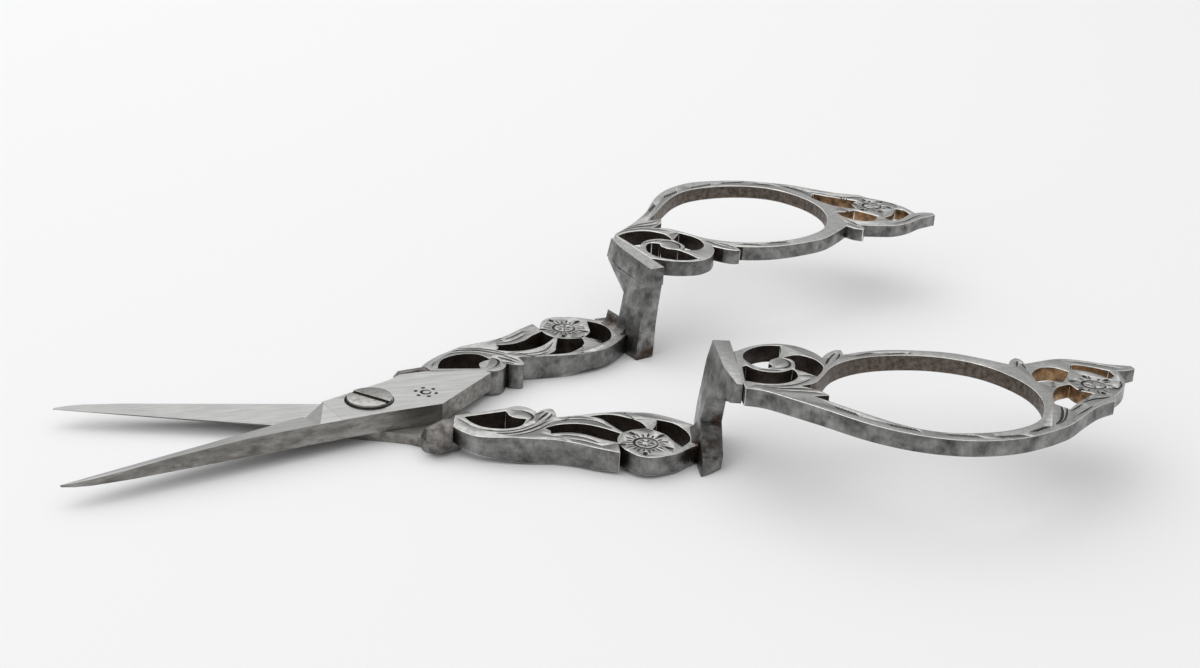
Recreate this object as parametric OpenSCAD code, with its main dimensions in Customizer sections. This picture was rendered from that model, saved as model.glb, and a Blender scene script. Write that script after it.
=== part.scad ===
// Openwork steel shears with stepped handles.
// Each half is a blade, a bolster, a pierced shank, a riser, a finger bow and a finial, all brazed
// together, and the two halves turn on one slotted screw. The shears lie open on a table at z = 0.
// Outlines are drawn for the closed shears: X runs from the pivot to the bows, Y outward from the
// line where the halves meet. Then each half is swung outward by half the opening.

/* [Opening] */
// Angle between the two halves as they lie, in degrees
open_angle = 32.2; // [10:0.1:60]

/* [Blades] */
// Thickness of the blade plate around the pivot
plate_t = 3.2; // [2.4:0.1:3.6]
// Thickness of the lower blade's plate, before it is ground flat underneath
lower_plate_t = 2.2; // [2:0.1:2.6]
// Height of the upper blade's ridge where it meets the plate
back_h = 2.9; // [2:0.1:3.2]
// Gap between the two flat mating faces
mating_gap = 0.06; // [0.02:0.01:0.1]
// Tilt of the blades against the table, points upward, in degrees
blade_tilt = 1.4; // [0.5:0.1:2]

/* [Pivot screw] */
// Diameter of the screw head
head_d = 7.2; // [5.5:0.1:7.6]
// Height of the screw head above the plate
head_h = 0.5; // [0.3:0.1:0.8]
// Diameter of the smooth neck that the upper blade turns on
neck_d = 4; // [3:0.1:4.5]
// Radial running clearance of the neck in the upper blade
neck_clearance = 0.04; // [0.02:0.01:0.1]
// Diameter of the screw's thread in the lower blade
thread_d = 3.4; // [2.6:0.1:3.6]

/* [Handles] */
// Slope of the lower handle against the table, falling toward its bow, in degrees
lower_tilt = 2.9; // [2:0.05:3.2]
// Slope of the upper handle against the table, falling toward its bow, in degrees
upper_tilt = 2.25; // [1.8:0.05:2.8]
// Height of the lower shank's top face above the mating faces
lower_shank_rise = 3.7; // [3.4:0.1:3.9]
// Height of the upper shank's top face above the mating faces
upper_shank_rise = 3.5; // [3.4:0.1:3.9]
// Greatest depth of the pierced shank, in the middle of its belly
shank_depth = 4.3; // [3.6:0.1:4.4]
// Depth of the pierced shank under its rosette
shank_end_depth = 3.1; // [2.6:0.1:3.4]
// Height of the bow's top face above the shank's top face
bow_rise = 13.1; // [11:0.1:15]
// Roll of the bow outward and upward, in degrees
bow_roll = 1.15; // [0:0.05:2]
// Depth of the finger bow at the riser
bow_depth = 2.9; // [2.6:0.1:3.2]
// Depth of the finial at its tail
tail_depth = 2.2; // [2:0.1:2.6]

/* [Hidden] */

// Thickness of the slices that hulls are drawn between
sliver = 0.02;

// Height of the pivot point, where the hinge axis meets the mating faces
pivot_z = 1.9;
// A length that is longer than the shears, for cutting tools
far = 200;
// Straight steps between two points of a curve
curve_steps = 4;

// --- Curves -------------------------------------------------------------------------------

// A point on the smooth curve through p, a fraction t of the way from p[i] to p[i + 1]
function on_curve(p, i, t) =
    let (
        a = p[max(i - 1, 0)],
        b = p[i],
        c = p[i + 1],
        d = p[min(i + 2, len(p) - 1)]
    )
    0.5 * (2 * b + (c - a) * t + (2 * a - 5 * b + 4 * c - d) * t * t
        + (3 * b - a - 3 * c + d) * t * t * t);

// A smooth run through p without its last point, straight if it has only two points
function run(p) =
    len(p) == 2
    ? [p[0]]
    : [for (i = [0:len(p) - 2]) for (s = [0:curve_steps - 1]) on_curve(p, i, s / curve_steps)];

// A closed outline of smooth runs that meet at corners
function outline(runs) = [for (r = runs) each run(r)];

module shape(runs) {
    polygon(outline(runs));
}

// --- Outlines of the blade plate ----------------------------------------------------------------

plate_front_back = [-7, -4.95];
plate_front_edge = [-7, 2.8];
plate_corner = [9.4, -6.8];
plate_rear = [22.3, 0.3];
plate_joint = [21.7, 1.6];
plate_shoulder = [13, 5.8];
plate_neck = [8.6, 6.6];

plate_outline = [
    [plate_front_back, [0, -5.5], plate_corner],
    [plate_corner, plate_rear],
    [plate_rear, plate_joint],
    [plate_joint, plate_shoulder],
    [plate_shoulder, plate_neck],
    [plate_neck, [6, 5.4], [0, 4.2], plate_front_edge],
    [plate_front_edge, plate_front_back]
];

// The lower blade's tang, which lies under the bolster and the shank's end
tang_outline = [
    [[8.6, 6.5], [9.4, 8.2], [11.4, 8.8], [14.6, 7.6]],
    [[14.6, 7.6], [16.2, 4.2]],
    [[16.2, 4.2], [8.6, 6.5]]
];

// --- Outlines of the shank ----------------------------------------------------------------

shank_end = [13.7, 8.5];
shank_foot = [51.5, 4.4];

shank_outline = [
    // Thin straight bar along the plate's edge, then the foot of the volute
    [[13.7, 5.4], [21.6, 1.6]],
    [[21.6, 1.6], [22.4, 0.9], [23.6, 0.5], [24.9, 0.9], [25.9, 1.8], [26.5, 2.7]],
    // Leaf sprout
    [[26.5, 2.7], [27.2, 1.6], [28.2, 0.9]],
    [[28.2, 0.9], [28.9, 1], [29.4, 2.4], [29.6, 4.1]],
    // Inner rim up to the riser
    [[29.6, 4.1], [33, 2.8], [37, 1.3], [41, 0.5], [45, 0.7], [48.4, 2.3], shank_foot],
    [shank_foot, [51.5, 11.6]],
    // Outer rim round the rosette: two lobes that meet in a cusp
    [[51.5, 11.6], [50, 13], [48.2, 15], [45.8, 16.4]],
    [[45.8, 16.4], [44.6, 16.9], [43.2, 16.9], [41.8, 16.3], [40.2, 14.6]],
    [[40.2, 14.6], [39.3, 12.8]],
    // Squared frond tip and the outer bar
    [[39.3, 12.8], [39.4, 15.8]],
    [[39.4, 15.8], [36, 14.6], [33, 13.3], [29.5, 12.4], [26, 12.4], [22.5, 12.2], [18, 11.4],
        [15.4, 10], shank_end],
    [shank_end, [13.7, 5.4]]
];

// Drop-shaped opening with the ball of the volute in its corner
shank_drop = [
    [[15.2, 5.6], [16.2, 7.3], [18, 8.9], [20.2, 9.4], [22.4, 9.1], [24.2, 7.8], [24.9, 5.2]],
    [[24.9, 5.2], [23.6, 5.1], [22.3, 4.4], [21.6, 2.6]],
    [[21.6, 2.6], [15.2, 5.6]]
];
// Opening between the frond and the middle leaf
shank_sweep = [
    [[27.8, 8.3], [30, 6.7], [33.2, 6], [36.4, 6.8], [39.6, 8.8]],
    [[39.6, 8.8], [39.1, 10.5], [39.1, 12.2]],
    [[39.1, 12.2], [36.6, 11.2], [34.2, 9.9], [31.6, 9.5], [28.8, 10.2]],
    [[28.8, 10.2], [28.7, 9.1], [27.8, 8.3]]
];
// Opening between the middle leaf and the hooked leaf
shank_hook = [
    [[34.7, 2.9], [36.6, 3.7], [38, 5.6], [40, 8.4]],
    [[40, 8.4], [41.4, 7.3], [43.8, 6.5]],
    [[43.8, 6.5], [42.8, 4.2], [40.6, 2.6], [37.8, 1.9], [34.7, 2.9]]
];
// Crescent opening between the rosette and the riser
shank_crescent = [
    [[48.8, 12.8], [47.8, 10.8], [46.6, 8.4], [44.6, 6.8]],
    [[44.6, 6.8], [45.2, 5], [45.4, 2.9]],
    [[45.4, 2.9], [48, 4], [50, 7], [50.3, 10.2], [48.8, 12.8]]
];
shank_openings = [shank_drop, shank_sweep, shank_hook, shank_crescent];

// --- Outlines of the bow and the finial ---------------------------------------------------

// Outer side of the ring, shared by the bow and the finial
ring_end_top = [100.7, 29.9];
ring_end_foot = [99.2, 4.4];
ring_end = [ring_end_foot, [100.5, 6.7], [101.5, 9.8], [102.5, 14.2], [102.7, 18.8], [102.2, 24.1],
    ring_end_top];

// Outer rim of each ring, from the finial to the riser head: the upper one was filed rounder
lower_rim = [ring_end_top, [96.3, 32.8], [91.3, 34.6], [85.7, 35.1], [79.7, 33.9], [73.7, 30.9], [67.8, 26.3],
    [62.8, 22.6], [59.8, 20.6], [57, 19.9]];
upper_rim = [ring_end_top, [96.3, 33.1], [91.3, 35], [85.9, 36], [80, 34.6], [75.5, 31.8], [72, 28.6],
    [68.4, 25], [63.9, 21.7], [60.3, 19.5], [57.4, 18]];

function bow_outline(rim) = [
    // Along the riser head
    [[56.7, 17.4], [56.5, 10.3]],
    [[56.5, 10.3], [56.3, 5.1]],
    // Scroll circle, from the riser head to the leaf sprout
    [[56.3, 5.1], [56.8, 4.8]],
    [[56.8, 4.8], [59, 2.6], [61.4, 1.3], [63.8, 0.8], [66.6, 1.6], [68.8, 3.7], [69.9, 5.8]],
    [[69.9, 5.8], [70.9, 3.9], [72.2, 2.4], [73.3, 2.1]],
    [[73.3, 2.1], [73.5, 4]],
    // Ring, round to the finial
    [[73.5, 4], [76.5, 2.4], [80.5, 1], [86, 0.5], [91, 0.8], [95.4, 2.5], ring_end_foot],
    ring_end,
    rim,
    // Notch at the riser head
    [rim[len(rim) - 1], [56.7, 17.4]]
];

// Finger hole, with the three-lobed leaf pointing into it
bow_finger_hole = [
    [[66.8, 21.5], [69.3, 23.5], [73.8, 27.2], [78.7, 30.7], [83.7, 32.5], [89.7, 32.1],
        [95.3, 29.9], [99.4, 26],
        [101.3, 19.9], [100.8, 14], [98.3, 9], [94.4, 5.1], [89.6, 3.2], [84.6, 2.8], [79, 3.8],
        [74.5, 6], [71.1, 9.4], [69.1, 13.6], [67.5, 16.5], [65.2, 17.8]],
    [[65.2, 17.8], [66.8, 18.6], [68.2, 19.4]],
    [[68.2, 19.4], [69.3, 21]],
    [[69.3, 21], [66.8, 21.5]]
];
// Opening over the scroll's arm
scroll_top = [
    [[57.1, 17], [60, 17.7], [63.1, 17.1], [65.1, 14.9], [65.3, 12.6], [64.8, 11.2]],
    [[64.8, 11.2], [63.1, 12.6], [60.9, 12.9], [58.9, 12], [57.8, 10.7]],
    [[57.8, 10.7], [57.1, 11.3]],
    [[57.1, 11.3], [57.1, 17]]
];
// Opening inside the scroll's arm, round the ball
scroll_eye = [
    [[58.7, 10.3], [57.6, 8], [57.9, 5.3], [59.6, 3], [61.6, 1.8], [63.9, 1.6]],
    [[63.9, 1.6], [63.7, 4.2], [63.1, 6.7]],
    [[63.1, 6.7], [61.8, 7.9], [61.3, 9.4]],
    [[61.3, 9.4], [61.9, 10.7]],
    [[61.9, 10.7], [60.8, 11.6]],
    [[60.8, 11.6], [59.7, 11.3], [58.7, 10.3]]
];
// Opening between the scroll's arm and the ring
scroll_side = [
    [[65.2, 11.3], [66.7, 12.4], [68.2, 13.8]],
    [[68.2, 13.8], [69.2, 11.7], [69.6, 9.2], [68.5, 6.5], [66.2, 5.2], [63.8, 6.5]],
    [[63.8, 6.5], [65.3, 7.9], [65.2, 11.3]]
];
bow_openings = [bow_finger_hole, scroll_top, scroll_eye, scroll_side];

finial_outline = [
    ring_end,
    [ring_end_top, [103.8, 27.2], [106.8, 23.2], [109.8, 19.5], [112.7, 17.2]],
    [[112.7, 17.2], [113.2, 15.1]],
    [[113.2, 15.1], [115.2, 12.1], [116.3, 8.8], [116.1, 4.7]],
    // Hooked tail
    [[116.1, 4.7], [117.8, 4.4], [119.3, 3.4]],
    [[119.3, 3.4], [119, 2.3]],
    [[119, 2.3], [115, 2], [111, 0.9], [107.6, 0.9], [104.6, 2.3], [101.9, 3.8]],
    // Leaf sprout
    [[101.9, 3.8], [101.6, 2.1], [100.8, 1.5]],
    [[100.8, 1.5], [99.8, 2.7], ring_end_foot]
];
finial_gap = [
    [[103, 19.7], [103.4, 16.3], [104.9, 13], [107.2, 11.4]],
    [[107.2, 11.4], [108, 13.6], [110.1, 14.7]],
    [[110.1, 14.7], [108.3, 16.8], [106.2, 19.4], [104.9, 21.4]],
    [[104.9, 21.4], [103, 19.7]]
];
finial_inner_gap = [
    [[102.2, 11.3], [104.1, 10.6], [106.3, 10.7]],
    [[106.3, 10.7], [107.3, 8.6], [108.2, 6.2]],
    [[108.2, 6.2], [106.2, 4.7], [103.8, 5.3], [102.1, 8], [102.2, 11.3]]
];
finial_tail_gap = [
    [[108.7, 5.1], [111.4, 5.8], [114.1, 8.2]],
    [[114.1, 8.2], [115.1, 6.9], [114.8, 4.8]],
    [[114.8, 4.8], [111.8, 3.4], [109.4, 3.2], [108.7, 5.1]]
];
finial_openings = [finial_gap, finial_inner_gap, finial_tail_gap];

// --- Frames -------------------------------------------------------------------------------

// Turns a half outward: the upper half to +Y, the lower half, its mirror image, to -Y
module swing(upper) {
    if (upper)
        rotate([0, 0, open_angle / 2]) children();
    else
        rotate([0, 0, -open_angle / 2]) mirror([0, 1, 0]) children();
}

// Places a blade, drawn with its mating face at z = 0; the lower blade is upside down
module in_blade_frame(upper) {
    translate([0, 0, pivot_z]) rotate([0, blade_tilt, 0]) swing(upper)
        if (upper)
            children();
        else
            mirror([0, 0, 1]) children();
}

// Places a handle piece, drawn with the shank's top face at z = 0
module in_handle_frame(upper) {
    translate([0, 0, pivot_z]) rotate([0, upper ? upper_tilt : lower_tilt, 0])
        translate([0, 0, upper ? upper_shank_rise : lower_shank_rise]) swing(upper) children();
}

// Within a handle's frame: places what is drawn with the bow's top face at z = 0
module on_bow_plane() {
    translate([0, 0, bow_rise]) rotate([bow_roll, 0, 0]) children();
}

// Keeps what lies above the table
module above_table() {
    intersection() {
        children();
        translate([-far, -far, 0]) cube([2 * far, 2 * far, far]);
    }
}

// A flat pierced piece, its top face at z = 0
module pierced(runs, openings, depth) {
    translate([0, 0, -depth]) linear_extrude(height = depth) difference() {
        shape(runs);
        for (o = openings) shape(o);
    }
}

// --- Blades -------------------------------------------------------------------------------

// Where the ground part of the blade ends and the ramp up to the plate ends
ground_end = -10;
ramp_end = -6.6;
// The ramp's first section: overlap with the ground blade, and its outline from back to edge
ramp_overlap = 0.5;
ramp_back = -4.7;
ramp_ridge = -4.1;
ramp_bevel = 2.4;
ramp_bevel_h = 0.9;
ramp_edge = 2.9;
// Inset of the blade's ridge from its back, and width of the cutting bevel
ridge_inset = 0.6;
bevel_w = 0.35;
// The lower blade is ground thinner than the upper one
lower_thinning = 0.62;

// Sections of the ground blade: place, back edge, ridge height, cutting bevel height, cutting edge
blade_sections = [
    [-50.2, -0.35, 0.3, 0.2, 0.1],
    [-48.4, -1.3, 0.5, 0.25, 0.1],
    [-46, -2, 0.75, 0.3, 0.2],
    [-40, -2.8, 1.4, 0.4, 0.8],
    [-34, -3.2, 2, 0.5, 1.4],
    [-22, -3.9, 2.75, 0.75, 2.7],
    [ground_end, -4.75, back_h, 0.85, 4.1]
];

// One thin slice of the blade, with its heights multiplied by thinning
module blade_slice(section, thinning) {
    back = section[1];
    edge = section[4];
    inset = min(ridge_inset, (edge - back) / 4);
    bevel = min(bevel_w, (edge - back) / 4);
    cross_slice(section[0], [[back, 0], [back + inset, section[2] * thinning],
        [edge - bevel, section[3] * thinning], [edge, 0]]);
}

module ground_blade(thinning) {
    hull() for (s = blade_sections) blade_slice(s, thinning);
}

// One thin slice across the blade at x, with the outline points
module cross_slice(x, points) {
    translate([x, 0, 0]) rotate([90, 0, 90]) linear_extrude(height = sliver) polygon(points);
}

// Step from the ground blade up to the flat plate, top thick; it starts inside the ground blade
module ramp(top) {
    share = top / plate_t;
    hull() {
        cross_slice(ground_end - ramp_overlap,
            [[ramp_back, 0], [ramp_ridge, back_h * share],
                [ramp_bevel, ramp_bevel_h * share], [ramp_edge, 0]]);
        cross_slice(ramp_end, [[-5, 0], [-5, top], [ramp_edge, top], [ramp_edge, 0]]);
    }
}

module blade(top, thinning, bore) {
    difference() {
        union() {
            ground_blade(thinning);
            ramp(top);
            linear_extrude(height = top) shape(plate_outline);
        }
        translate([0, 0, -1]) cylinder(d = bore, h = top + 2, $fn = 48);
    }
}

module upper_blade() {
    color("lightgray") in_blade_frame(true) translate([0, 0, mating_gap / 2])
        blade(plate_t, 1, neck_d + 2 * neck_clearance);
}

module lower_blade() {
    color("lightgray") above_table() in_blade_frame(false) translate([0, 0, mating_gap / 2])
        union() {
            blade(lower_plate_t, lower_thinning, thread_d);
            linear_extrude(height = lower_plate_t) shape(tang_outline);
        }
}

// --- Pivot screw --------------------------------------------------------------------------

// Thread: how far it reaches below and above the mating face, before the table trims it
thread_below = 6;
thread_above = 1;
slot_w = 0.9;
slot_depth = 0.35;
slot_turn = -47;
// Height of the head's underside above the mating face
head_play = 0.02;
head_seat = plate_t + mating_gap / 2 + head_play;

module pivot_screw() {
    color("silver") above_table() translate([0, 0, pivot_z]) rotate([0, blade_tilt, 0])
        difference() {
            union() {
                translate([0, 0, -thread_below])
                    cylinder(d = thread_d, h = thread_below + thread_above, $fn = 48);
                cylinder(d = neck_d, h = head_seat, $fn = 48);
                translate([0, 0, head_seat]) cylinder(d = head_d, h = head_h, $fn = 64);
            }
            rotate([0, 0, slot_turn])
                translate([-head_d, -slot_w / 2, head_seat + head_h - slot_depth])
                    cube([2 * head_d, slot_w, 1]);
        }
}

// --- Bolsters -----------------------------------------------------------------------------

// Faceted knuckle between the blade and the shank: its outline at three levels, top to bottom
bolster_levels = [
    [-0.15, [[12, 6.7], [13.7, 5.9], [13.7, 7.6], [11.8, 7.4]]],
    [-0.95, [[9.3, 8.6], [10.4, 7.5], [13.7, 5.6], [13.7, 8.9], [11.5, 9.5], [9.8, 9.5]]],
    [-2.3, [[8.7, 8.9], [10.2, 7.2], [13.7, 5.5], [13.7, 9.9], [11.6, 11], [9.6, 10.7]]],
    [-4.3, [[9.6, 9], [11, 7.7], [13.6, 6.4], [13.6, 9.4], [11.6, 10.6], [10.3, 10.4]]]
];

module bolster_body() {
    hull() for (level = bolster_levels)
        translate([0, 0, level[0]]) linear_extrude(height = sliver) polygon(level[1]);
}

// Cuts the knuckle back to the blade's edge and to the shank's end
module bolster(upper) {
    difference() {
        in_handle_frame(upper) bolster_body();
        in_blade_frame(upper) translate([0, 0, mating_gap / 2 - (upper ? 1 : 0)])
            linear_extrude(height = plate_t + 1) union() {
                shape(plate_outline);
                if (!upper) shape(tang_outline);
            }
    }
}

module upper_bolster() {
    color("dimgray") bolster(true);
}

module lower_bolster() {
    color("dimgray") above_table() bolster(false);
}

// --- Shanks -------------------------------------------------------------------------------

// Belly of the shank's underside: where it starts, is deepest and ends, and the radius of its curve
belly_from = 10;
belly_x = 27;
belly_to = 42;
belly_r = 80;
// Bevel that lowers the shank's outer edge towards the bolster: two points of its upper edge
bevel_from = [13.7, 6.9];
bevel_to = [24, 12.8];
bevel_fall = 19;

// Side view of the shank's depth
module shank_side() {
    translate([0, -shank_end_depth]) square([far, far]);
    intersection() {
        translate([belly_x, belly_r - shank_depth]) circle(r = belly_r, $fn = 240);
        translate([belly_from, -far]) square([belly_to - belly_from, 2 * far]);
    }
}

module shank_body() {
    difference() {
        intersection() {
            pierced(shank_outline, shank_openings, shank_depth);
            translate([0, far / 2, 0]) rotate([90, 0, 0]) linear_extrude(height = far) shank_side();
        }
        translate([bevel_from.x, bevel_from.y, 0])
            rotate([0, 0, atan2(bevel_to.y - bevel_from.y, bevel_to.x - bevel_from.x)])
                rotate([-bevel_fall, 0, 0])
                    translate([-10, 0, 0]) cube([norm(bevel_to - bevel_from) + 10, 10, 5]);
    }
}

module shank(upper) {
    difference() {
        in_handle_frame(upper) shank_body();
        in_blade_frame(upper) translate([0, 0, mating_gap / 2])
            linear_extrude(height = plate_t + 1) union() {
                shape(plate_outline);
                if (!upper) shape(tang_outline);
            }
    }
}

module upper_shank() {
    color("gray") shank(true);
}

module lower_shank() {
    color("gray") shank(false);
}

// --- Risers -------------------------------------------------------------------------------

// Plan outlines of the riser from its top down: the head, which is in the bow's plane
head_top = [[53.3, 0.7], [56, 0.6], [56.5, 10.3], [56.7, 18.6], [55.8, 18.5], [54.3, 12]];
head_foot = [[52.6, 0.7], [56, 0.6], [56.5, 10.3], [56.7, 18.3], [55, 18.2], [53.6, 12]];
head_depth = 3.2;
// How far out each head reaches
lower_reach = 19;
upper_reach = 16.2;
// ... and the bar and the foot: height above the shank's top face, and outline
bar_levels = [
    [9.9, [[52.6, 0.7], [55.8, 0.7], [56.4, 10.3], [56.5, 17.4], [55.1, 17.2], [53.5, 11]]],
    [6.6, [[52.2, 0.7], [55.4, 0.7], [55.6, 7.6], [52.7, 7.6]]],
    [2.2, [[51.7, 0.7], [55, 0.7], [55.2, 7.4], [51.8, 7.4]]],
    [-1, [[51.5, 0.8], [55, 0.8], [55.3, 13.4], [52.1, 15.2], [51.5, 12]]],
    [-4.2, [[51.5, 0.8], [54.8, 0.8], [55, 13.2], [51.9, 16.4], [51.5, 12]]]
];
// Fillet between the shank's top face and the bar, seen from the side
fillet_side = [[50.5, 0], [51.1, 0.3], [51.6, 1], [51.9, 2.4], [52, 0]];
fillet_y = 5;
fillet_length = 6;

module slice(z, points) {
    translate([0, 0, z]) linear_extrude(height = sliver) polygon(points);
}

module riser_head() {
    on_bow_plane() hull() {
        slice(-sliver, head_top);
        slice(-head_depth, head_foot);
    }
}

module riser_bar() {
    for (i = [0:len(bar_levels) - 2]) hull() {
        slice(bar_levels[i][0], bar_levels[i][1]);
        slice(bar_levels[i + 1][0], bar_levels[i + 1][1]);
    }
    translate([0, fillet_y + fillet_length, 0]) rotate([90, 0, 0])
        linear_extrude(height = fillet_length) polygon(fillet_side);
}

module riser(upper) {
    above_table() in_handle_frame(upper) intersection() {
        union() {
            riser_head();
            riser_bar();
        }
        translate([0, 0, -10]) cube([far, upper ? upper_reach : lower_reach, 2 * far]);
    }
}

module upper_riser() {
    color("slategray") riser(true);
}

module lower_riser() {
    color("slategray") riser(false);
}

// --- Bows and finials ---------------------------------------------------------------------

bow_start = 57;
tail_end = 119;

// Pierced plate of the bow and the finial, thinning towards the tail
module bow_plate(upper, runs, openings) {
    in_handle_frame(upper) on_bow_plane() intersection() {
        pierced(runs, openings, bow_depth);
        translate([bow_start, 0, -bow_depth])
            rotate([0, -atan2(bow_depth - tail_depth, tail_end - bow_start), 0])
                translate([-10, -10, 0]) cube([far, far, 10]);
    }
}

module upper_bow() {
    color("darkgray") bow_plate(true, bow_outline(upper_rim), bow_openings);
}

module lower_bow() {
    color("darkgray") bow_plate(false, bow_outline(lower_rim), bow_openings);
}

module upper_finial() {
    color("rosybrown") bow_plate(true, finial_outline, finial_openings);
}

module lower_finial() {
    color("rosybrown") bow_plate(false, finial_outline, finial_openings);
}

upper_blade();
upper_bolster();
upper_shank();
upper_riser();
upper_bow();
upper_finial();
lower_blade();
lower_bolster();
lower_shank();
lower_riser();
lower_bow();
lower_finial();
pivot_screw();
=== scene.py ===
"""Look of the openwork shears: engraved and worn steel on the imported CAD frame, and a soft studio."""

import math

import bmesh
import bpy
from bpy.props import FloatProperty, FloatVectorProperty, PointerProperty
from mathutils import Matrix, Vector
from mathutils.bvhtree import BVHTree


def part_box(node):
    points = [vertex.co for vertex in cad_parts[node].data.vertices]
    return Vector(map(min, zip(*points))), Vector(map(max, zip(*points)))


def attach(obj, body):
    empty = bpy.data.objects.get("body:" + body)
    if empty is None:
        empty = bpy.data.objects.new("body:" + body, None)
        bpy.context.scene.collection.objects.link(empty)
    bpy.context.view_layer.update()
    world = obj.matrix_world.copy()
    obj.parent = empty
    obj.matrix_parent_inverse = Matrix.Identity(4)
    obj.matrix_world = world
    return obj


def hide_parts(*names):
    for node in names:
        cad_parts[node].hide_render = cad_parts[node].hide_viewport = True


bl_info = {
    "name": "Openwork shears",
    "version": (1, 0, 0),
    "blender": (4, 5, 0),
    "location": "3D View > Sidebar > Shears",
    "description": "Engraves and finishes the shears and sets up the studio",
    "category": "Object",
}

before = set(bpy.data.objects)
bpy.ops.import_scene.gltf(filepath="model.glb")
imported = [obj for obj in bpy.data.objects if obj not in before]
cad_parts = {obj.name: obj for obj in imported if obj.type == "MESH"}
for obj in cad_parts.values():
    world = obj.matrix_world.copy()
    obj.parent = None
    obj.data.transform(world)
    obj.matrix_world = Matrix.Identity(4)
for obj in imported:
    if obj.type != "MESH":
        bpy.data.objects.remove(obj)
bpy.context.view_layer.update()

MM = 0.001
FULL_TURN = 2 * math.pi

# --- Places, in millimetres, as the CAD model has them ---------------------------------------

HALF_OPENING = math.radians(16.1)
PIVOT_Z = 1.9
BLADE_TILT = math.radians(1.4)
PLATE_TOP = 3.23
HANDLE_TILT = {"upper": math.radians(2.25), "lower": math.radians(2.9)}
SHANK_RISE = {"upper": 3.5, "lower": 3.7}
BOW_RISE = 13.1
BOW_ROLL = math.radians(1.15)
SIDES = ("upper", "lower")
BODY = {"upper": "upper_half", "lower": "lower_half"}


def swing(side):
    """Turn of one half away from the closed position, mirrored for the lower half."""
    if side == "upper":
        return Matrix.Rotation(HALF_OPENING, 4, "Z")
    return Matrix.Rotation(-HALF_OPENING, 4, "Z") @ Matrix.Scale(-1, 4, (0, 1, 0))


def raised(height):
    """Shift upward."""
    return Matrix.Translation((0, 0, height))


def shank_plane(side):
    """Frame whose z = 0 is the top face of the shank."""
    lean = Matrix.Rotation(HANDLE_TILT[side], 4, "Y")
    return Matrix.Scale(MM, 4) @ raised(PIVOT_Z) @ lean @ raised(SHANK_RISE[side]) @ swing(side)


def bow_plane(side):
    """Frame whose z = 0 is the top face of the bow and the finial."""
    return shank_plane(side) @ raised(BOW_RISE) @ Matrix.Rotation(BOW_ROLL, 4, "X")


def plate_plane(side):
    """Frame whose z = 0 is the top face of the upper blade's plate."""
    lean = Matrix.Rotation(BLADE_TILT, 4, "Y")
    return Matrix.Scale(MM, 4) @ raised(PIVOT_Z) @ lean @ raised(PLATE_TOP) @ swing(side)


# --- Engraved strokes, in millimetres on their plane: width, depth, points --------------------

THIN = 0.256
FINE = 0.32
BOLD = 0.5
DEEP = 0.28
SHALLOW = 0.18
# Steps of a smooth path between two of its points
CURVE_STEPS = 6

SHANK_STROKES = (
    # Volute: line round the ball, and lines that follow the drop
    (BOLD, DEEP, ((24.0, 2.2), (25.3, 3.2), (25.9, 4.5), (25.4, 5.8))),
    (FINE, SHALLOW, ((14.6, 6.7), (16.2, 8.6), (18.6, 10.0), (21.2, 10.3), (24.0, 9.2), (26.4, 6.8))),
    (BOLD, SHALLOW, ((19.2, 10.9), (22.0, 11.0), (24.6, 9.8), (26.8, 7.6), (28.4, 5.4))),
    (FINE, SHALLOW, ((22.4, 11.7), (25.0, 10.6), (27.0, 8.8), (28.7, 6.4))),
    # Leaf sprout
    (BOLD, DEEP, ((26.7, 5.6), (27.5, 4.0), (28.2, 2.4))),
    (FINE, SHALLOW, ((27.8, 5.6), (28.5, 4.2), (28.9, 2.8))),
    (FINE, SHALLOW, ((26.2, 3.6), (26.9, 2.9), (27.6, 2.0))),
    # Frond: lines along it and its hatched edge
    (FINE, SHALLOW, ((29.4, 11.2), (31.6, 10.6), (34.0, 11.2), (36.2, 12.6))),
    (FINE, SHALLOW, ((31.8, 11.9), (34.2, 12.6), (36.6, 13.8))),
    # Middle leaf
    (FINE, SHALLOW, ((28.8, 6.2), (31.0, 5.0), (33.6, 4.4), (36.0, 5.0), (38.2, 7.0))),
    (FINE, SHALLOW, ((31.4, 4.0), (33.4, 3.4), (35.2, 3.8))),
    # Hooked leaf by the riser
    (FINE, SHALLOW, ((45.3, 6.3), (46.8, 7.6), (48.2, 9.6))),
    (FINE, SHALLOW, ((42.4, 7.4), (43.8, 6.9), (44.8, 7.3))),
)

BOW_STROKES = (
    # Scroll: groove round the ball, and lines that follow the arm
    (BOLD, DEEP, ((62.2, 11.2), (63.6, 11.0), (64.5, 9.8), (64.5, 8.2), (63.6, 7.1))),
    (FINE, SHALLOW, ((58.6, 18.3), (61.0, 18.5), (63.6, 18.0), (66.0, 16.4), (67.2, 14.8))),
    (BOLD, SHALLOW, ((59.6, 18.9), (62.6, 19.3), (65.0, 19.0), (67.4, 19.0))),
    (FINE, SHALLOW, ((61.4, 19.9), (64.0, 20.2), (66.6, 20.2), (68.6, 20.6))),
    (FINE, SHALLOW, ((66.0, 13.6), (67.2, 13.6), (68.0, 13.8))),
    (FINE, SHALLOW, ((59.0, 11.9), (61.0, 12.1), (63.0, 12.0))),
    # Leaf sprout at the start of the ring
    (FINE, SHALLOW, ((70.8, 6.8), (71.4, 5.2), (72.2, 3.6))),
    (FINE, SHALLOW, ((72.0, 6.4), (72.6, 5.0), (73.0, 3.6))),
    (BOLD, SHALLOW, ((70.2, 8.6), (70.6, 7.2), (71.0, 5.8))),
)

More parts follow.
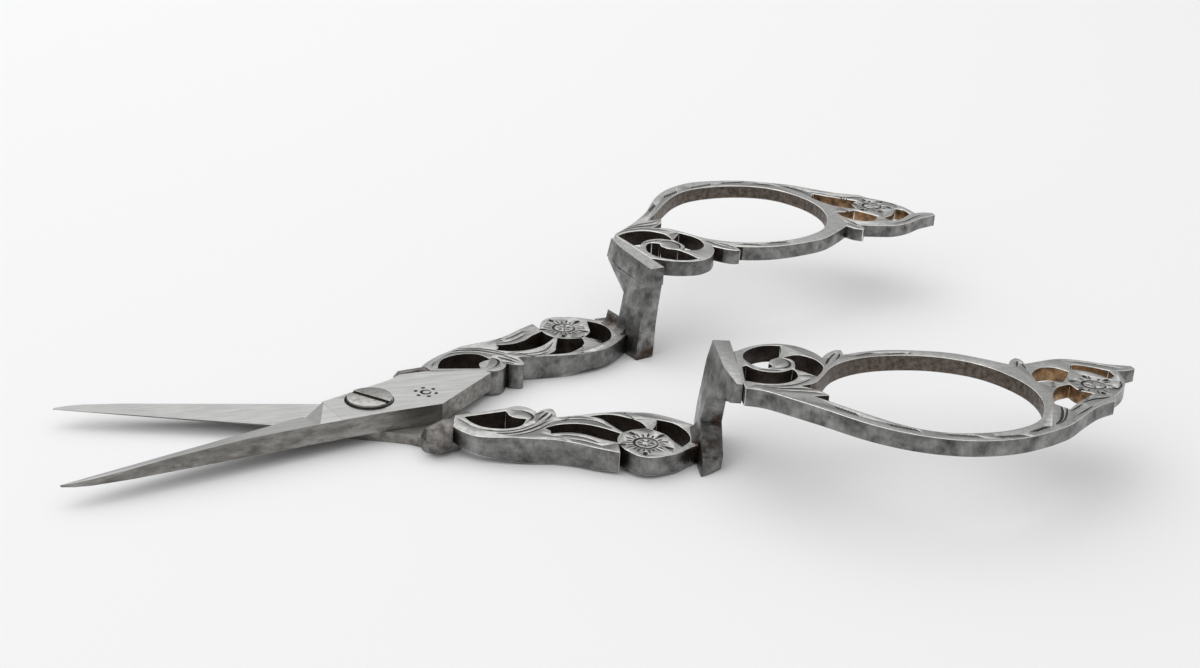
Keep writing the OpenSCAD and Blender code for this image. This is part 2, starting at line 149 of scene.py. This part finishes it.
FINIAL_STROKES = (
    # Double line where the ring ends
    (BOLD, DEEP, ((101.0, 28.0), (102.4, 26.0), (103.4, 23.0), (103.8, 20.2))),
    (FINE, SHALLOW, ((101.9, 27.4), (103.2, 25.4), (104.2, 22.4), (104.5, 20.6))),
    # Leaf sprout
    (FINE, SHALLOW, ((100.3, 5.4), (100.6, 4.0), (100.9, 2.8))),
    (FINE, SHALLOW, ((101.6, 6.0), (101.5, 4.8), (101.4, 3.8))),
    # Tail and the frame round the rosette
    (FINE, SHALLOW, ((108.6, 1.9), (111.4, 2.0), (114.2, 2.9), (116.6, 3.6))),
    (FINE, SHALLOW, ((115.5, 9.0), (115.2, 11.0), (114.0, 12.8))),
    # Comma leaf
    (BOLD, DEEP, ((107.4, 18.6), (109.2, 17.2), (111.0, 16.4), (112.4, 15.6))),
    (FINE, SHALLOW, ((104.8, 22.2), (106.0, 20.8), (107.2, 19.2))),
    (FINE, SHALLOW, ((105.6, 23.4), (107.0, 21.8), (108.6, 19.8))),
)

# Hatch groups: plane point, heading, spread heading, count, gap, length
SHANK_HATCHES = (
    ((30.0, 11.5), 70, 8, 9, 0.85, 0.9),
    ((30.4, 5.4), -60, -24, 8, 0.8, 0.9),
    ((40.2, 1.0), 60, 10, 8, 0.8, 0.6),
)
BOW_HATCHES = (
    ((69.6, 25.0), 40, 72, 7, 0.55, 1.3),
    ((76.4, 30.4), 22, 55, 8, 0.55, 1.4),
    ((84.2, 33.0), 2, 36, 8, 0.6, 1.4),
    ((91.4, 33.0), -14, 20, 8, 0.55, 1.4),
    ((97.0, 30.6), -40, -8, 7, 0.5, 1.3),
    ((75.0, 4.2), -32, 4, 6, 0.55, 1.1),
    ((80.0, 2.6), -14, 22, 6, 0.55, 1.1),
)
FINIAL_HATCHES = (
    ((104.4, 9.0), 96, -12, 8, 0.55, 0.8),
    ((103.6, 7.4), 100, 60, 5, 0.5, 0.8),
    ((108.9, 14.5), 110, 60, 5, 0.6, 0.9),
)

# Rosettes: centre, ring radii, petal radius, petals, radial ticks
SHANK_ROSETTE = ((43.45, 11.9), 1.87, 1.87, 4.3, 5, 22)
FINIAL_ROSETTE = ((110.9, 11.2), 1.8, 1.6, 3.7, 6, 12)
PLATE_ROSETTE = ((9.2, -1.6), 0.75, 0.75, 1.9, 6, 0)
# Radius of a dark groove round the screw head: painted shade for the gap under the head
SCREW_SHADE_RING = 3.8

# Rings: points round one, and the share of the circle that the stroke covers
RING_POINTS = 32
RING_COVER = 0.985
# Ticks round a rosette's ring: gap to it, the two lengths in turn, and the share of the ring's
# radius where the ticks inside it start and how long they are
TICK_GAP = 0.35
TICK_LONG = 1.35
TICK_SHORT = 0.8
INNER_TICK_START = 0.3
INNER_TICK_LENGTH = 0.4
INNER_TICK_EVERY = 3
# Cuts between petals: turn of the first one in petals, shares of the petal's radius for start and length
PETAL_TURN = 0.3
CUT_START = 0.74
CUT_LENGTH = 0.3
CUT_WIDTH = 1.6 * BOLD
CUT_DEPTH = 1.2 * DEEP


def smooth_path(points):
    """Smooth run of points through the given ones."""
    knots = [Vector(p) for p in points]
    knots = [2 * knots[0] - knots[1], *knots, 2 * knots[-1] - knots[-2]]
    path = []
    for a, b, c, d in zip(knots, knots[1:], knots[2:], knots[3:]):
        for step in range(CURVE_STEPS):
            t = step / CURVE_STEPS
            path.append(
                0.5 * (2 * b + (c - a) * t + (2 * a - 5 * b + 4 * c - d) * t * t
                       + (3 * b - a - 3 * c + d) * t ** 3)
            )
    path.append(knots[-2])
    return path


def ring_path(centre, radius_x, radius_y):
    """Closed ring that ends just short of its start."""
    turns = [FULL_TURN * RING_COVER * i / RING_POINTS for i in range(RING_POINTS + 1)]
    return [
        Vector((centre[0] + radius_x * math.cos(turn), centre[1] + radius_y * math.sin(turn)))
        for turn in turns
    ]


def beside(start, heading, length):
    """Point at a length from start, in the direction of heading in degrees."""
    turn = math.radians(heading)
    return (start[0] + length * math.cos(turn), start[1] + length * math.sin(turn))


def straight(start, heading, length):
    """Straight path, with points for its taper."""
    steps = 3
    end = Vector(beside(start, heading, length))
    return [Vector(start).lerp(end, step / steps) for step in range(steps + 1)]


# The cutter's section widens past the surface by this share of the groove's width and depth, and
# clears the surface by a hair where the stroke tapers out
CUTTER_RISE = 0.6
CUTTER_CLEAR = 0.02
# How far before its first point and after its last one a stroke would taper to nothing, in points
TAPER_BEFORE = 0.35
TAPER_AFTER = 0.35


def cut_groove(mesh, path, width, depth, matrix):
    """Adds a V-shaped cutter with tapered ends along the path."""
    count = len(path)
    taper_length = count - 1 + TAPER_BEFORE + TAPER_AFTER
    sections = []
    for i, point in enumerate(path):
        ahead = path[min(i + 1, count - 1)] - path[max(i - 1, 0)]
        across = Vector((-ahead.y, ahead.x)).normalized()
        swell = math.sqrt(math.sin(math.pi * (i + TAPER_BEFORE) / taper_length))
        reach = across * width / 2 * swell * (1 + CUTTER_RISE)
        low = -depth * swell
        high = CUTTER_CLEAR - low * CUTTER_RISE
        sections.append((
            mesh.verts.new(matrix @ Vector((*(point + reach), high))),
            mesh.verts.new(matrix @ Vector((*point, low))),
            mesh.verts.new(matrix @ Vector((*(point - reach), high))),
        ))
    for near, far in zip(sections, sections[1:]):
        for i in range(3):
            j = (i + 1) % 3
            mesh.faces.new((near[i], near[j], far[j], far[i]))
    mesh.faces.new(sections[0])
    mesh.faces.new(tuple(reversed(sections[-1])))


def cut_strokes(mesh, strokes, matrix):
    """Adds a cutter for each smooth stroke."""
    for width, depth, points in strokes:
        cut_groove(mesh, smooth_path(points), width, depth, matrix)


def cut_hatches(mesh, hatches, matrix):
    """Adds each group of short parallel strokes, set out along a line."""
    for start, row_heading, stroke_heading, count, gap, length in hatches:
        for i in range(count):
            place = beside(start, row_heading, i * gap)
            cut_groove(mesh, straight(place, stroke_heading, length), FINE, SHALLOW, matrix)


def cut_rosette(mesh, rosette, matrix):
    """Adds the ring, the ticks round it and the cuts between the petals."""
    centre, ring_x, ring_y, petal_r, petals, ticks = rosette
    cut_groove(mesh, ring_path(centre, ring_x, ring_y), BOLD, DEEP, matrix)
    for i in range(ticks):
        turn = 360 * i / ticks
        length = TICK_LONG if i % 2 else TICK_SHORT
        outside = beside(centre, turn, ring_x + TICK_GAP)
        cut_groove(mesh, straight(outside, turn, length), FINE, SHALLOW, matrix)
        if i % INNER_TICK_EVERY == 0:
            inside = beside(centre, turn, ring_x * INNER_TICK_START)
            cut_groove(mesh, straight(inside, turn, ring_x * INNER_TICK_LENGTH), THIN, SHALLOW, matrix)
    for i in range(petals):
        turn = 360 * (i + PETAL_TURN) / petals
        start = beside(centre, turn, petal_r * CUT_START)
        cut_groove(mesh, straight(start, turn, petal_r * CUT_LENGTH), CUT_WIDTH, CUT_DEPTH, matrix)


# --- Materials --------------------------------------------------------------------------------


# Noise levels between which the tone goes from light to dark, and those of the dark specks
TONE_FROM = 0.35
TONE_TO = 0.68
SPECK_FROM = 0.5
SPECK_TO = 0.75
SPECK_SHARE = 0.45
# Stains: size against the mottle, and how much noise there is between clean and stained
STAIN_SIZE = 1.7
STAIN_SOFTNESS = 0.14
# Damp near the table: how much it adds to the stains, and the share of its height where it is full
DAMP_ADDED = 0.16
DAMP_FULL = 1 / 3
# Roughness: how far it strays below and above its middle, and the noise levels for that
SMOOTHER = 0.06
ROUGHER = 0.1
SHEEN_FROM = 0.3
SHEEN_TO = 0.7
BUMP_STRENGTH = 0.6


def linear(hex_colour):
    """Linear colour of an sRGB hex string such as 6E6B68."""
    channels = [int(hex_colour[i:i + 2], 16) / 255 for i in (0, 2, 4)]
    return (*[c / 12.92 if c <= 0.04045 else ((c + 0.055) / 1.055) ** 2.4 for c in channels], 1.0)


def add(tree, kind, inputs=None, **settings):
    """New node with its settings, its input values and its links."""
    made = tree.nodes.new(kind)
    for name, value in settings.items():
        setattr(made, name, value)
    for name, value in (inputs or {}).items():
        socket = made.inputs[name]
        if isinstance(value, bpy.types.NodeSocket):
            tree.links.new(value, socket)
        else:
            socket.default_value = value
    return made


def noise(tree, place, size_mm, detail=4.0, roughness=0.6):
    """Noise whose features are about size_mm across."""
    made = add(tree, "ShaderNodeTexNoise",
               {"Vector": place, "Scale": 1 / (size_mm * MM), "Detail": detail, "Roughness": roughness})
    return made.outputs["Fac"]


def band(tree, value, low, high, to_low=0.0, to_high=1.0):
    """Value spread from low..high to to_low..to_high."""
    made = add(tree, "ShaderNodeMapRange",
               {"Value": value, "From Min": low, "From Max": high, "To Min": to_low, "To Max": to_high})
    return made.outputs["Result"]


# Places of the colour sockets on a mix node
COLOUR_A = 6
COLOUR_B = 7
COLOUR_OUT = 2


def blend(tree, share, first, second):
    """Colour between first and second, by share."""
    made = add(tree, "ShaderNodeMix", {"Factor": share}, data_type="RGBA")
    for socket, value in ((made.inputs[COLOUR_A], first), (made.inputs[COLOUR_B], second)):
        if isinstance(value, bpy.types.NodeSocket):
            tree.links.new(value, socket)
        else:
            socket.default_value = value
    return made.outputs[COLOUR_OUT]


def metal(name, light, dark, stain, stain_from, mottle_mm, grain_mm, rough, relief_mm, metallic=1.0,
          stretch=(1, 1, 1), damp_mm=0):
    """Steel whose tone wanders from light to dark, with stains, grain and pits."""
    material = bpy.data.materials.new(name)
    material.use_nodes = True
    tree = material.node_tree
    tree.nodes.clear()
    coordinates = add(tree, "ShaderNodeTexCoord").outputs["Object"]
    place = add(tree, "ShaderNodeMapping", {"Vector": coordinates, "Scale": stretch}).outputs["Vector"]
    mottle = noise(tree, place, mottle_mm, detail=6.0, roughness=0.65)
    grain = noise(tree, place, grain_mm, detail=3.0)
    blotch = noise(tree, coordinates, mottle_mm * STAIN_SIZE, detail=5.0, roughness=0.7)
    if damp_mm:
        height = add(tree, "ShaderNodeSeparateXYZ", {"Vector": coordinates}).outputs["Z"]
        damp = band(tree, height, damp_mm * MM * DAMP_FULL, damp_mm * MM, DAMP_ADDED, 0.0)
        blotch = add(tree, "ShaderNodeMath", {0: blotch, 1: damp}, operation="ADD").outputs[0]
    tone = blend(tree, band(tree, mottle, TONE_FROM, TONE_TO), linear(light), linear(dark))
    specks = band(tree, grain, SPECK_FROM, SPECK_TO, 0.0, SPECK_SHARE)
    speckled = blend(tree, specks, tone, linear(dark))
    stained = band(tree, blotch, stain_from, stain_from + STAIN_SOFTNESS)
    colour = blend(tree, stained, speckled, linear(stain))
    sheen = band(tree, mottle, SHEEN_FROM, SHEEN_TO, rough - SMOOTHER, rough + ROUGHER)
    height = add(tree, "ShaderNodeMath", {0: grain, 1: mottle}, operation="ADD").outputs[0]
    bump = add(tree, "ShaderNodeBump",
               {"Height": height, "Distance": relief_mm * MM, "Strength": BUMP_STRENGTH})
    shader = add(tree, "ShaderNodeBsdfPrincipled",
                 {"Base Color": colour, "Roughness": sheen, "Metallic": metallic,
                  "Normal": bump.outputs["Normal"]})
    add(tree, "ShaderNodeOutputMaterial", {"Surface": shader.outputs["BSDF"]})
    return material


def make_materials():
    """All finishes by their short names."""
    return {
        # Filed and handled faces: satin steel with small dark specks
        "face": metal(
            "satin_filed_steel", light="BEBEBC", dark="A09F9D", stain="7E7B77", stain_from=0.6,
            mottle_mm=0.9, grain_mm=0.16, rough=0.36, relief_mm=0.05,
        ),
        # Outer walls: grey patina that a file never touches again, mottled and dull
        "wall": metal(
            "patinated_steel", light="989896", dark="4E4D4C", stain="433932", stain_from=0.61,
            mottle_mm=2.8, grain_mm=0.18, rough=0.31, relief_mm=0.05,
        ),
        # Riser: the same patina, with brown rust where damp rises from the table
        "riser": metal(
            "damp_stained_steel", light="989896", dark="4C4B4A", stain="483A31", stain_from=0.6,
            mottle_mm=2.6, grain_mm=0.18, rough=0.31, relief_mm=0.06, damp_mm=9,
        ),
        # Pierced walls: brown-black painted shade inside the openings
        "opening": metal(
            "painted_shade_opening_steel", light="41372F", dark="1C1714", stain="54392A", stain_from=0.6,
            mottle_mm=1.1, grain_mm=0.25, rough=0.5, relief_mm=0.08, metallic=0.7,
        ),
        # Wall of the finger hole: brown-grey, pitted
        "ring": metal(
            "pitted_steel", light="7A726A", dark="443B35", stain="6A5645", stain_from=0.56,
            mottle_mm=0.8, grain_mm=0.25, rough=0.42, relief_mm=0.12, metallic=0.9,
        ),
        # Finial's pierced walls: dull gold tint with near-black patches of painted shade
        "gold_shade": metal(
            "gold_tint_painted_shade_steel", light="BD9A72", dark="3E332C", stain="2A2320", stain_from=0.55,
            mottle_mm=2.0, grain_mm=0.3, rough=0.42, relief_mm=0.06, metallic=0.9,
        ),
        # Iron with a thin rust bloom at the joints: dull brown-grey
        "rust": metal(
            "rusted_steel", light="8C8986", dark="524F4C", stain="5B4638", stain_from=0.57,
            mottle_mm=1.3, grain_mm=0.2, rough=0.38, relief_mm=0.1, metallic=0.95,
        ),
        # Handled edges: bare bright steel, rubbed by handling and with a painted highlight
        "edge": metal(
            "rubbed_steel_and_painted_highlight", light="F2F2F0", dark="CDCDCA", stain="8C8A86", stain_from=0.66,
            mottle_mm=0.9, grain_mm=0.2, rough=0.26, relief_mm=0.02,
        ),
        # Engraved lines: grime that the cloth can't reach; the same finish is the painted shade in the
        # groove round the screw head
        "groove": metal(
            "grime_and_painted_shade_steel", light="34302C", dark="1C1917", stain="443A32", stain_from=0.6,
            mottle_mm=0.5, grain_mm=0.2, rough=0.6, relief_mm=0.02, metallic=0.4,
        ),
        # Hollow-ground blade: bright, with fine lengthwise marks
        "ground": metal(
            "ground_steel", light="C3C3C1", dark="ADADAB", stain="95938F", stain_from=0.66,
            mottle_mm=0.8, grain_mm=0.2, rough=0.38, relief_mm=0.02, metallic=1.0, stretch=(0.12, 1, 1),
        ),
        # Blade back: dark patina in lengthwise streaks
        "back": metal(
            "streaked_steel", light="A3A19D", dark="6B6864", stain="453F39", stain_from=0.62,
            mottle_mm=1.1, grain_mm=0.18, rough=0.36, relief_mm=0.06, metallic=1.0, stretch=(0.2, 1, 1),
        ),
        # Screw: turned head, scratched
        "screw": metal(
            "turned_steel", light="BDBDBA", dark="8F8D89", stain="5E5A55", stain_from=0.58,
            mottle_mm=1.0, grain_mm=0.12, rough=0.32, relief_mm=0.03,
        ),
    }


# --- Working copies of the CAD nodes ----------------------------------------------------------

# Corners closer than this are one corner, and faces flatter than this are one face
WELD = 0.001 * MM
FLAT_ANGLE = math.radians(0.5)
# A face whose normal rises more than this is a top face
UP_SHARE = 0.8
# Longest way across an opening, and across the finger hole, and the start of such a look across
ACROSS_OPENING = 17 * MM
ACROSS_RING = 40 * MM
CLEAR = 0.01 * MM
# A corner this near to the next piece lies on their joint
JOINT_REACH = 0.03 * MM
# Height range and radius of the screw's slot, in millimetres on the plate
SLOT_FLOOR = 0.1
SLOT_RIM = 0.45
SLOT_REACH = 3.4
# Edges sharper than this are rounded, and shading is smooth below the limits
SHARP = math.radians(30)
SMOOTH_LIMIT = math.radians(28)
PLATE_SMOOTH_LIMIT = math.radians(5)
# Widths of the rounded edges, which carry rubbed wear and a painted highlight
BEVEL = 0.11 * MM
BOLSTER_BEVEL = 0.35 * MM
RISER_BEVEL = 0.3 * MM
BLADE_BEVEL = 0.1 * MM
SCREW_BEVEL = 0.12 * MM
BEVEL_SEGMENTS = 2
# Height of the riser's foot, above which its top faces are filed clean
RISER_FOOT = 8 * MM


def copy_node(name):
    """Working copy of a CAD node with its split corners welded."""
    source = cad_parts[name]
    mesh = source.data.copy()
    piece = bpy.data.objects.new("worn_" + name, mesh)
    bpy.context.scene.collection.objects.link(piece)
    work = bmesh.new()
    work.from_mesh(mesh)
    bmesh.ops.remove_doubles(work, verts=work.verts, dist=WELD)
    bmesh.ops.dissolve_limit(work, angle_limit=FLAT_ANGLE, verts=work.verts, edges=work.edges)
    work.to_mesh(mesh)
    work.free()
    return piece


# Finishes by their short names, filled by the first operator
FINISHES = {}


def fill_slots(piece, names):
    """Gives the piece's slots the named finishes."""
    piece.data.materials.clear()
    for name in names:
        piece.data.materials.append(FINISHES[name])


def tree_of(name):
    """Search tree over a CAD node's faces."""
    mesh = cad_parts[name].data
    return BVHTree.FromPolygons([v.co for v in mesh.vertices], [f.vertices for f in mesh.polygons])


def paint(piece, node, opening="opening"):
    """Gives each face the finish of its kind, and returns the place of the edges' bright finish: rubbed
    wear and a painted highlight.

    A wall that looks across at the same piece belongs to an opening, where it gets painted shade, or to
    the finger hole.
    """
    names = ["face", "wall", opening, "ring", "edge"]
    fill_slots(piece, names)
    tree = tree_of(node)
    for face in piece.data.polygons:
        if face.normal.z > UP_SHARE:
            face.material_index = names.index("face")
            continue
        hit = tree.ray_cast(face.center + face.normal * CLEAR, face.normal, ACROSS_RING)
        distance = hit[3]
        if distance is None:
            face.material_index = names.index("wall")
        # A wall close across from the same piece is inside an opening: painted shade
        elif distance < ACROSS_OPENING:
            face.material_index = names.index(opening)
        else:
            face.material_index = names.index("ring")
    return names.index("edge")


def soften(piece, node, width, edge_index):
    """Rounds the free edges with a narrow bevel in the given finish, mostly rubbed wear and a painted
    highlight; edges on a joint stay closed.
    """
    side = node.split("_")[0]
    family = [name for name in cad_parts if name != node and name.startswith(side)]
    joined = [tree_of(name) for name in family]

    def on_joint(place):
        return any(tree.find_nearest(place, JOINT_REACH)[0] is not None for tree in joined)

    work = bmesh.new()
    work.from_mesh(piece.data)
    weight = work.edges.layers.float.new("bevel_weight_edge")
    touching = {corner: on_joint(corner.co) for corner in work.verts}
    for edge in work.edges:
        sharp = len(edge.link_faces) == 2 and edge.calc_face_angle(0) > SHARP
        if sharp and not all(touching[corner] for corner in edge.verts):
            edge[weight] = 1
    work.to_mesh(piece.data)
    work.free()
    bevel = piece.modifiers.new("rubbed_and_highlight_edges", "BEVEL")
    bevel.width = width
    bevel.segments = BEVEL_SEGMENTS
    bevel.limit_method = "WEIGHT"
    # The bevel's finish: bright rubbed wear with a painted highlight on most pieces
    bevel.material = edge_index
    bevel.use_clamp_overlap = True


def engrave(piece, fill, smooth_limit=SMOOTH_LIMIT):
    """Cuts the grooves that fill draws into a cutter mesh."""
    work = bmesh.new()
    fill(work)
    bmesh.ops.recalc_face_normals(work, faces=work.faces)
    mesh = bpy.data.meshes.new("groove_cutter")
    work.to_mesh(mesh)
    work.free()
    mesh.materials.append(FINISHES["groove"])
    cutter = bpy.data.objects.new("groove_cutter", mesh)
    bpy.context.scene.collection.objects.link(cutter)
    cut = piece.modifiers.new("engraving", "BOOLEAN")
    cut.operation = "DIFFERENCE"
    cut.solver = "EXACT"
    cut.use_self = True
    cut.material_mode = "TRANSFER"
    cut.object = cutter
    settle(piece, smooth_limit)
    bpy.data.objects.remove(cutter)


def settle(piece, smooth_limit=SMOOTH_LIMIT):
    """Turns the piece's modifiers into mesh and shades it smooth up to sharp corners."""
    graph = bpy.context.evaluated_depsgraph_get()
    graph.update()
    mesh = bpy.data.meshes.new_from_object(piece.evaluated_get(graph))
    piece.modifiers.clear()
    piece.data = mesh
    for face in mesh.polygons:
        face.use_smooth = True
    mesh.set_sharp_from_angle(angle=smooth_limit)


def stand_in(piece, node, side):
    """Puts the piece in place of its CAD node."""
    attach(piece, BODY[side])
    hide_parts(node)


# --- Settings ---------------------------------------------------------------------------------


class ShearsLook(bpy.types.PropertyGroup):
    """Sizes of the finish."""

    # Width of the bright edges: rubbed wear and a painted highlight
    edge_width: FloatProperty(
        name="Rubbed edge", description="Width of the bright rubbed edges", default=BEVEL, unit="LENGTH")
    table_colour: FloatVectorProperty(
        name="Table", description="Colour of the table", default=linear("F1F1F2")[:3], subtype="COLOR")
    key_power: FloatProperty(
        name="Key light", description="Power of the large light overhead", default=1.7, unit="POWER")
    fill_level: FloatProperty(
        name="Surround", description="Brightness of the white surround", default=0.93)


class SHEARS_OT_finishes(bpy.types.Operator):
    """Makes the metal finishes"""

    bl_idname = "shears.finishes"
    bl_label = "Make finishes"

    def execute(self, context):
        FINISHES.update(make_materials())
        return {"FINISHED"}


class SHEARS_OT_shanks(bpy.types.Operator):
    """Engraves and finishes the pierced shanks"""

    bl_idname = "shears.shanks"
    bl_label = "Finish shanks"

    def execute(self, context):
        for side in SIDES:
            plane = shank_plane(side)
            node = side + "_shank"
            piece = copy_node(node)
            edge = paint(piece, node)
            soften(piece, node, context.scene.shears_look.edge_width, edge)

            def fill(work):
                cut_strokes(work, SHANK_STROKES, plane)
                cut_hatches(work, SHANK_HATCHES, plane)
                cut_rosette(work, SHANK_ROSETTE, plane)

            engrave(piece, fill)
            stand_in(piece, node, side)
        return {"FINISHED"}


class SHEARS_OT_bows(bpy.types.Operator):
    """Engraves and finishes the bows and the finials"""

    bl_idname = "shears.bows"
    bl_label = "Finish bows"

    def execute(self, context):
        for side in SIDES:
            plane = bow_plane(side)
            # Opening walls of the bow get painted shade, those of the finial a gold tint with painted
            # shade
            for part, strokes, hatches, rosette, opening in (
                ("bow", BOW_STROKES, BOW_HATCHES, None, "opening"),
                ("finial", FINIAL_STROKES, FINIAL_HATCHES, FINIAL_ROSETTE, "gold_shade"),
            ):
                node = f"{side}_{part}"
                piece = copy_node(node)
                edge = paint(piece, node, opening)
                soften(piece, node, context.scene.shears_look.edge_width, edge)

                def fill(work):
                    cut_strokes(work, strokes, plane)
                    cut_hatches(work, hatches, plane)
                    if rosette:
                        cut_rosette(work, rosette, plane)

                engrave(piece, fill)
                stand_in(piece, node, side)
        return {"FINISHED"}


class SHEARS_OT_joints(bpy.types.Operator):
    """Finishes the bolsters and the risers"""

    bl_idname = "shears.joints"
    bl_label = "Finish joints"

    def execute(self, context):
        for side in SIDES:
            for part, width, wall in (("bolster", BOLSTER_BEVEL, "rust"), ("riser", RISER_BEVEL, "riser")):
                node = f"{side}_{part}"
                piece = copy_node(node)
                names = ["face", wall, "edge"]
                fill_slots(piece, names)
                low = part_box(node)[0].z
                for face in piece.data.polygons:
                    up = face.normal.z > UP_SHARE and part == "riser"
                    clean = up and face.center.z - low > RISER_FOOT
                    face.material_index = names.index("face" if clean else wall)
                soften(piece, node, width, names.index(wall if part == "bolster" else "edge"))
                settle(piece)
                stand_in(piece, node, side)
        return {"FINISHED"}


class SHEARS_OT_blades(bpy.types.Operator):
    """Finishes the blades, the mark on the plate and the screw"""

    bl_idname = "shears.blades"
    bl_label = "Finish blades"

    def execute(self, context):
        for side in SIDES:
            node = side + "_blade"
            piece = copy_node(node)
            names = ["ground", "back", "edge"]
            fill_slots(piece, names)
            for face in piece.data.polygons:
                face.material_index = names.index("ground" if face.normal.z > UP_SHARE else "back")
            soften(piece, node, BLADE_BEVEL, names.index("edge"))
            if side == "upper":
                plane = plate_plane(side)

                def fill(work):
                    cut_rosette(work, PLATE_ROSETTE, plane)
                    # Dark groove round the screw head: painted shade for the gap under the head
                    cut_groove(work, ring_path((0, 0), SCREW_SHADE_RING, SCREW_SHADE_RING), BOLD, DEEP, plane)

                engrave(piece, fill, PLATE_SMOOTH_LIMIT)
            else:
                settle(piece, PLATE_SMOOTH_LIMIT)
            stand_in(piece, node, side)
        screw = copy_node("pivot_screw")
        names = ["screw", "edge", "groove"]
        fill_slots(screw, names)
        to_plate = plate_plane("upper").inverted()
        for face in screw.data.polygons:
            place = to_plate @ face.center
            if SLOT_FLOOR < place.z < SLOT_RIM and place.xy.length < SLOT_REACH:
                face.material_index = names.index("groove")
        soften(screw, "pivot_screw", SCREW_BEVEL, names.index("edge"))
        settle(screw)
        stand_in(screw, "pivot_screw", "lower")
        return {"FINISHED"}


# --- Studio -----------------------------------------------------------------------------------

# The surround: its level at the horizon, and the height of view at which it is full white
HORIZON_LEVEL = 0.25
WHITE_FROM = 0.75
# Half the table's width, and its drop below the pieces that rest on it, in metres
TABLE_HALF = 3
TABLE_DROP = 0.02 * MM
TABLE_ROUGHNESS = 0.9
# Soft lights: name, place and width in metres, and share of the key light's power
LIGHTS = (
    ("key_light", (-0.05, 0.4, 0.6), 0.9, 1.0),
    ("side_light", (-0.55, -0.25, 0.35), 0.5, 0.35),
)
LIGHT_TARGET = Vector((0.03, 0, 0))
CAMERA_AZIMUTH = 16.83
CAMERA_ELEVATION = 22.8
CAMERA_ROLL = 0.77
CAMERA_DISTANCE = 335.13 * MM
CAMERA_TARGET = Vector((42.4, 14.36, 6)) * MM
CAMERA_LENS = 58.97
SENSOR_WIDTH = 36
CLIP_START = 10 * MM


class SHEARS_OT_studio(bpy.types.Operator):
    """Sets up the table, the lights and the camera"""

    bl_idname = "shears.studio"
    bl_label = "Set up studio"

    def execute(self, context):
        scene = context.scene
        look = scene.shears_look
        table_mesh = bpy.data.meshes.new("table")
        work = bmesh.new()
        bmesh.ops.create_grid(work, x_segments=1, y_segments=1, size=TABLE_HALF)
        work.to_mesh(table_mesh)
        work.free()
        table = bpy.data.objects.new("table", table_mesh)
        table.location.z = -TABLE_DROP
        paper = bpy.data.materials.new("matt_white_card")
        paper.use_nodes = True
        shader = paper.node_tree.nodes["Principled BSDF"]
        shader.inputs["Base Color"].default_value = (*look.table_colour, 1)
        shader.inputs["Roughness"].default_value = TABLE_ROUGHNESS
        table_mesh.materials.append(paper)
        scene.collection.objects.link(table)

        for name, place, size, share in LIGHTS:
            lamp = bpy.data.lights.new(name, "AREA")
            lamp.size = size
            lamp.energy = look.key_power * share
            light = bpy.data.objects.new(name, lamp)
            light.location = place
            aim = LIGHT_TARGET - Vector(place)
            light.rotation_euler = aim.to_track_quat("-Z", "Y").to_euler()
            scene.collection.objects.link(light)

        world = bpy.data.worlds.new("white_surround")
        world.use_nodes = True
        tree = world.node_tree
        background = tree.nodes["Background"]
        background.inputs["Strength"].default_value = look.fill_level
        direction = add(tree, "ShaderNodeTexCoord").outputs["Generated"]
        height = add(tree, "ShaderNodeSeparateXYZ", {"Vector": direction}).outputs["Z"]
        whiteness = band(tree, height, 0.0, WHITE_FROM)
        sky = blend(tree, whiteness, (*[HORIZON_LEVEL] * 3, 1), (1, 1, 1, 1))
        tree.links.new(sky, background.inputs["Color"])
        scene.world = world
        scene.view_settings.view_transform = "Standard"

        turn = math.radians(CAMERA_AZIMUTH)
        lift = math.radians(CAMERA_ELEVATION)
        back = Vector((-math.sin(turn) * math.cos(lift), -math.cos(turn) * math.cos(lift), math.sin(lift)))
        lens = bpy.data.cameras.new("camera")
        lens.lens = CAMERA_LENS
        lens.sensor_width = SENSOR_WIDTH
        lens.clip_start = CLIP_START
        camera = bpy.data.objects.new("camera", lens)
        camera.location = CAMERA_TARGET + back * CAMERA_DISTANCE
        roll = Matrix.Rotation(math.radians(CAMERA_ROLL), 3, "Z")
        look_at = (-back).to_track_quat("-Z", "Y").to_matrix()
        camera.rotation_euler = (look_at @ roll).to_euler()
        scene.collection.objects.link(camera)
        scene.camera = camera
        return {"FINISHED"}


class SHEARS_PT_panel(bpy.types.Panel):
    """Panel in the sidebar"""

    bl_idname = "SHEARS_PT_panel"
    bl_label = "Shears"
    bl_space_type = "VIEW_3D"
    bl_region_type = "UI"
    bl_category = "Shears"

    def draw(self, context):
        column = self.layout.column()
        for name in ("edge_width", "table_colour", "key_power", "fill_level"):
            column.prop(context.scene.shears_look, name)
        for step in STEPS:
            column.operator("shears." + step)


STEPS = ("finishes", "shanks", "bows", "joints", "blades", "studio")
CLASSES = (
    ShearsLook, SHEARS_OT_finishes, SHEARS_OT_shanks, SHEARS_OT_bows, SHEARS_OT_joints,
    SHEARS_OT_blades, SHEARS_OT_studio, SHEARS_PT_panel,
)


def register():
    """Registers the classes and the settings."""
    for made in CLASSES:
        bpy.utils.register_class(made)
    bpy.types.Scene.shears_look = PointerProperty(type=ShearsLook)


def unregister():
    """Takes the settings and the classes away again."""
    del bpy.types.Scene.shears_look
    for made in reversed(CLASSES):
        bpy.utils.unregister_class(made)


def main():
    """Makes the whole scene."""
    register()
    for step in STEPS:
        getattr(bpy.ops.shears, step)()


if __name__ == "__main__":
    main()
